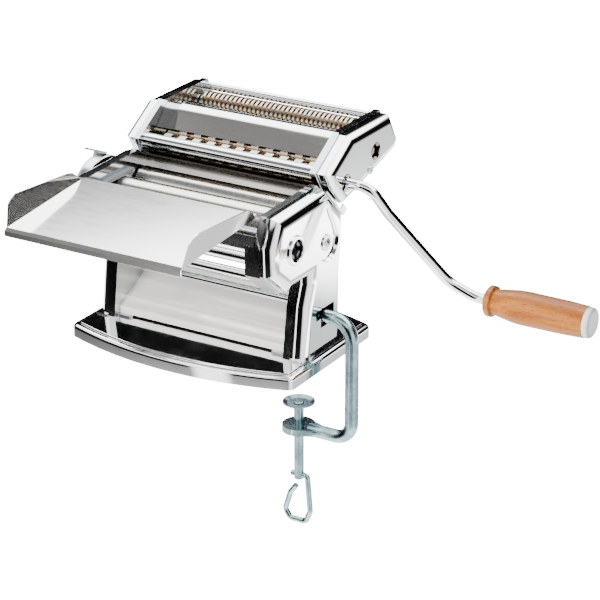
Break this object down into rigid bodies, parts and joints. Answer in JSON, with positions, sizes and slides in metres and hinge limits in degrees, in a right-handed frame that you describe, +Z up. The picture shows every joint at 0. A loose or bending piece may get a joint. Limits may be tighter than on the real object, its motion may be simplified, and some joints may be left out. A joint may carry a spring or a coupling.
{
  "type": "pasta roller machine",
  "caption": "Hand-cranked dough sheeter with two smooth rollers, a slide-on head of wide and narrow cutters, a feed tray, a removable crank and a table clamp.",
  "frame": {"origin": "centre of the base's underside, on the tabletop", "axes": "+X along the rollers towards the crank, +Y to the back of the machine, +Z up"},
  "size_m": [0.3921, 0.2773, 0.3093],
  "materials": {
    "pressed_chrome": "bright chrome plate on pressed steel",
    "chromed_frame": "chrome plate on flanged steel sheet",
    "chromed_sheet": "bright chrome plate on thin steel sheet",
    "chromed_bar": "polished chrome plate on drawn bar",
    "roller_steel": "fine ground steel, lines round the roller",
    "cutter_steel": "turned steel",
    "gear_steel": "hobbed steel, lightly oiled",
    "spring_steel": "spring steel strip",
    "bearing_brass": "turned bearing bronze",
    "screw_steel": "turned bright steel",
    "guide_plastic": "moulded grey plastic",
    "dial_chrome": "chrome plate on a pressed cup",
    "zinc_lever": "bright zinc plate on steel sheet",
    "clamp_zinc": "blue bright zinc plate on forged rod",
    "beech": "turned beech with a thin clear coat",
    "cap_plastic": "moulded white plastic",
    "foot_rubber": "moulded black rubber"
  },
  "bodies": {
    "machine_body": {"base_plate": "pressed_chrome", "chute_plate": "chromed_sheet", "cover_screw_washers": "screw_steel", "dough_guides": "guide_plastic", "drive_socket_ring": "chromed_bar", "front_guard_tube": "chromed_bar", "front_roller_bushes": "bearing_brass", "front_scraper": "spring_steel", "left_cover": "pressed_chrome", "left_cover_screw": "screw_steel", "left_side_frame": "chromed_frame", "lower_tie_rod": "chromed_bar", "middle_tie_rod": "chromed_bar", "rear_guard_sheet": "chromed_sheet", "rear_scraper": "spring_steel", "rear_tie_rod": "chromed_bar", "regulator_dial": "dial_chrome", "right_cover": "pressed_chrome", "right_cover_screw": "screw_steel", "right_side_frame": "chromed_frame", "rubber_feet": "foot_rubber"},
    "cutter_head": {"right_cutter_plate": "chromed_frame", "left_cutter_plate": "chromed_frame", "right_cutter_cover": "pressed_chrome", "left_cutter_cover": "pressed_chrome", "cutter_cover_rivets": "screw_steel", "cutter_top_bar": "chromed_bar", "lower_cutter_guide": "chromed_bar", "upper_cutter_guide": "chromed_sheet", "cutter_middle_tie_rod": "chromed_bar", "cutter_rear_tie_rod": "chromed_bar", "wide_cutter_comb": "spring_steel", "narrow_cutter_comb": "spring_steel", "cutter_front_sheet": "chromed_sheet"},
    "wide_driven_cutter": {"wide_cutter_a": "cutter_steel", "wide_cutter_gear_a": "gear_steel"},
    "wide_idle_cutter": {"wide_cutter_b": "cutter_steel", "wide_cutter_gear_b": "gear_steel"},
    "narrow_driven_cutter": {"narrow_cutter_a": "cutter_steel", "narrow_cutter_gear_a": "gear_steel"},
    "narrow_idle_cutter": {"narrow_cutter_b": "cutter_steel", "narrow_cutter_gear_b": "gear_steel"},
    "roller_drive": {"drive_pinion": "gear_steel"},
    "front_roller_set": {"front_roller": "roller_steel", "front_roller_gear": "gear_steel"},
    "rear_carriage": {"rear_bearing_blocks": "gear_steel"},
    "rear_roller_set": {"rear_roller": "roller_steel", "rear_roller_gear": "gear_steel"},
    "regulator": {"regulator_shaft": "screw_steel", "regulator_lever": "zinc_lever", "regulator_cam_plate": "gear_steel"},
    "tray": {"feed_tray": "chromed_sheet"},
    "crank": {"crank_rod": "chromed_bar", "crank_drive_pin": "chromed_bar"},
    "grip": {"crank_grip": "beech", "grip_end_cap": "cap_plastic"},
    "clamp": {"clamp_bracket": "clamp_zinc"},
    "pad": {"clamp_pad": "clamp_zinc"},
    "screw": {"clamp_screw": "clamp_zinc", "clamp_screw_handle": "clamp_zinc"}
  },
  "joints": [
    {"name": "roller_drive_spin", "type": "hinge", "parent": "machine_body", "child": "roller_drive", "pos_m": [0.085, -0.04113, 0.10294], "axis": [1, 0, 0], "continuous": true},
    {"name": "front_roller_spin", "type": "hinge", "parent": "machine_body", "child": "front_roller_set", "pos_m": [0, -0.0204, 0.11], "axis": [1, 0, 0], "continuous": true},
    {"name": "rear_carriage_slide", "type": "slide", "parent": "machine_body", "child": "rear_carriage", "axis": [0, -1, 0], "range_m": [0, 0.002]},
    {"name": "rear_roller_spin", "type": "hinge", "parent": "rear_carriage", "child": "rear_roller_set", "pos_m": [0, 0.0069, 0.11], "axis": [1, 0, 0], "continuous": true},
    {"name": "regulator_turn", "type": "hinge", "parent": "machine_body", "child": "regulator", "pos_m": [-0.095, -0.017, 0.103], "axis": [1, 0, 0], "range_deg": [0, 100.05]},
    {"name": "tray_slide", "type": "slide", "parent": "machine_body", "child": "tray", "axis": [0, -0.9962, -0.0872], "range_m": [0, 0.06]},
    {"name": "cutter_head_slide", "type": "slide", "parent": "machine_body", "child": "cutter_head", "axis": [0, -0.7071, 0.7071], "range_m": [0, 0.04]},
    {"name": "wide_driven_spin", "type": "hinge", "parent": "cutter_head", "child": "wide_driven_cutter", "pos_m": [0, 0.0317, 0.1317], "axis": [1, 0, 0], "continuous": true},
    {"name": "wide_idle_spin", "type": "hinge", "parent": "cutter_head", "child": "wide_idle_cutter", "pos_m": [0, 0.05006, 0.13659], "axis": [1, 0, 0], "continuous": true},
    {"name": "narrow_driven_spin", "type": "hinge", "parent": "cutter_head", "child": "narrow_driven_cutter", "pos_m": [0, 0.07567, 0.1434], "axis": [1, 0, 0], "continuous": true},
    {"name": "narrow_idle_spin", "type": "hinge", "parent": "cutter_head", "child": "narrow_idle_cutter", "pos_m": [0, 0.09403, 0.14829], "axis": [1, 0, 0], "continuous": true},
    {"name": "crank_slide", "type": "slide", "parent": "wide_driven_cutter", "child": "crank", "axis": [1, 0, 0], "range_m": [0, 0.03]},
    {"name": "grip_spin", "type": "hinge", "parent": "crank", "child": "grip", "pos_m": [0.23, 0.07896, 0.04131], "axis": [1, 0, 0], "continuous": true},
    {"name": "clamp_slide", "type": "slide", "parent": "machine_body", "child": "clamp", "axis": [1, 0, 0], "range_m": [0, 0.03]},
    {"name": "pad_lift", "type": "slide", "parent": "clamp", "child": "pad", "axis": [0, 0, 1], "range_m": [-0.012, 0.03]},
    {"name": "screw_turn", "type": "hinge", "parent": "pad", "child": "screw", "pos_m": [0.0695, 0, -0.07], "axis": [0, 0, 1], "range_deg": [-2881, 7201]}
  ],
  "couplings": [
    {"joint": "roller_drive_spin", "follows": "front_roller_spin", "ratio": -1.5},
    {"joint": "rear_roller_spin", "follows": "front_roller_spin", "ratio": -1},
    {"joint": "wide_idle_spin", "follows": "wide_driven_spin", "ratio": -1},
    {"joint": "narrow_idle_spin", "follows": "narrow_driven_spin", "ratio": -1},
    {"joint": "regulator_turn", "follows": "rear_carriage_slide", "rad_per_m": 872.66},
    {"joint": "screw_turn", "follows": "pad_lift", "rad_per_m": 4188.8}
  ]
}
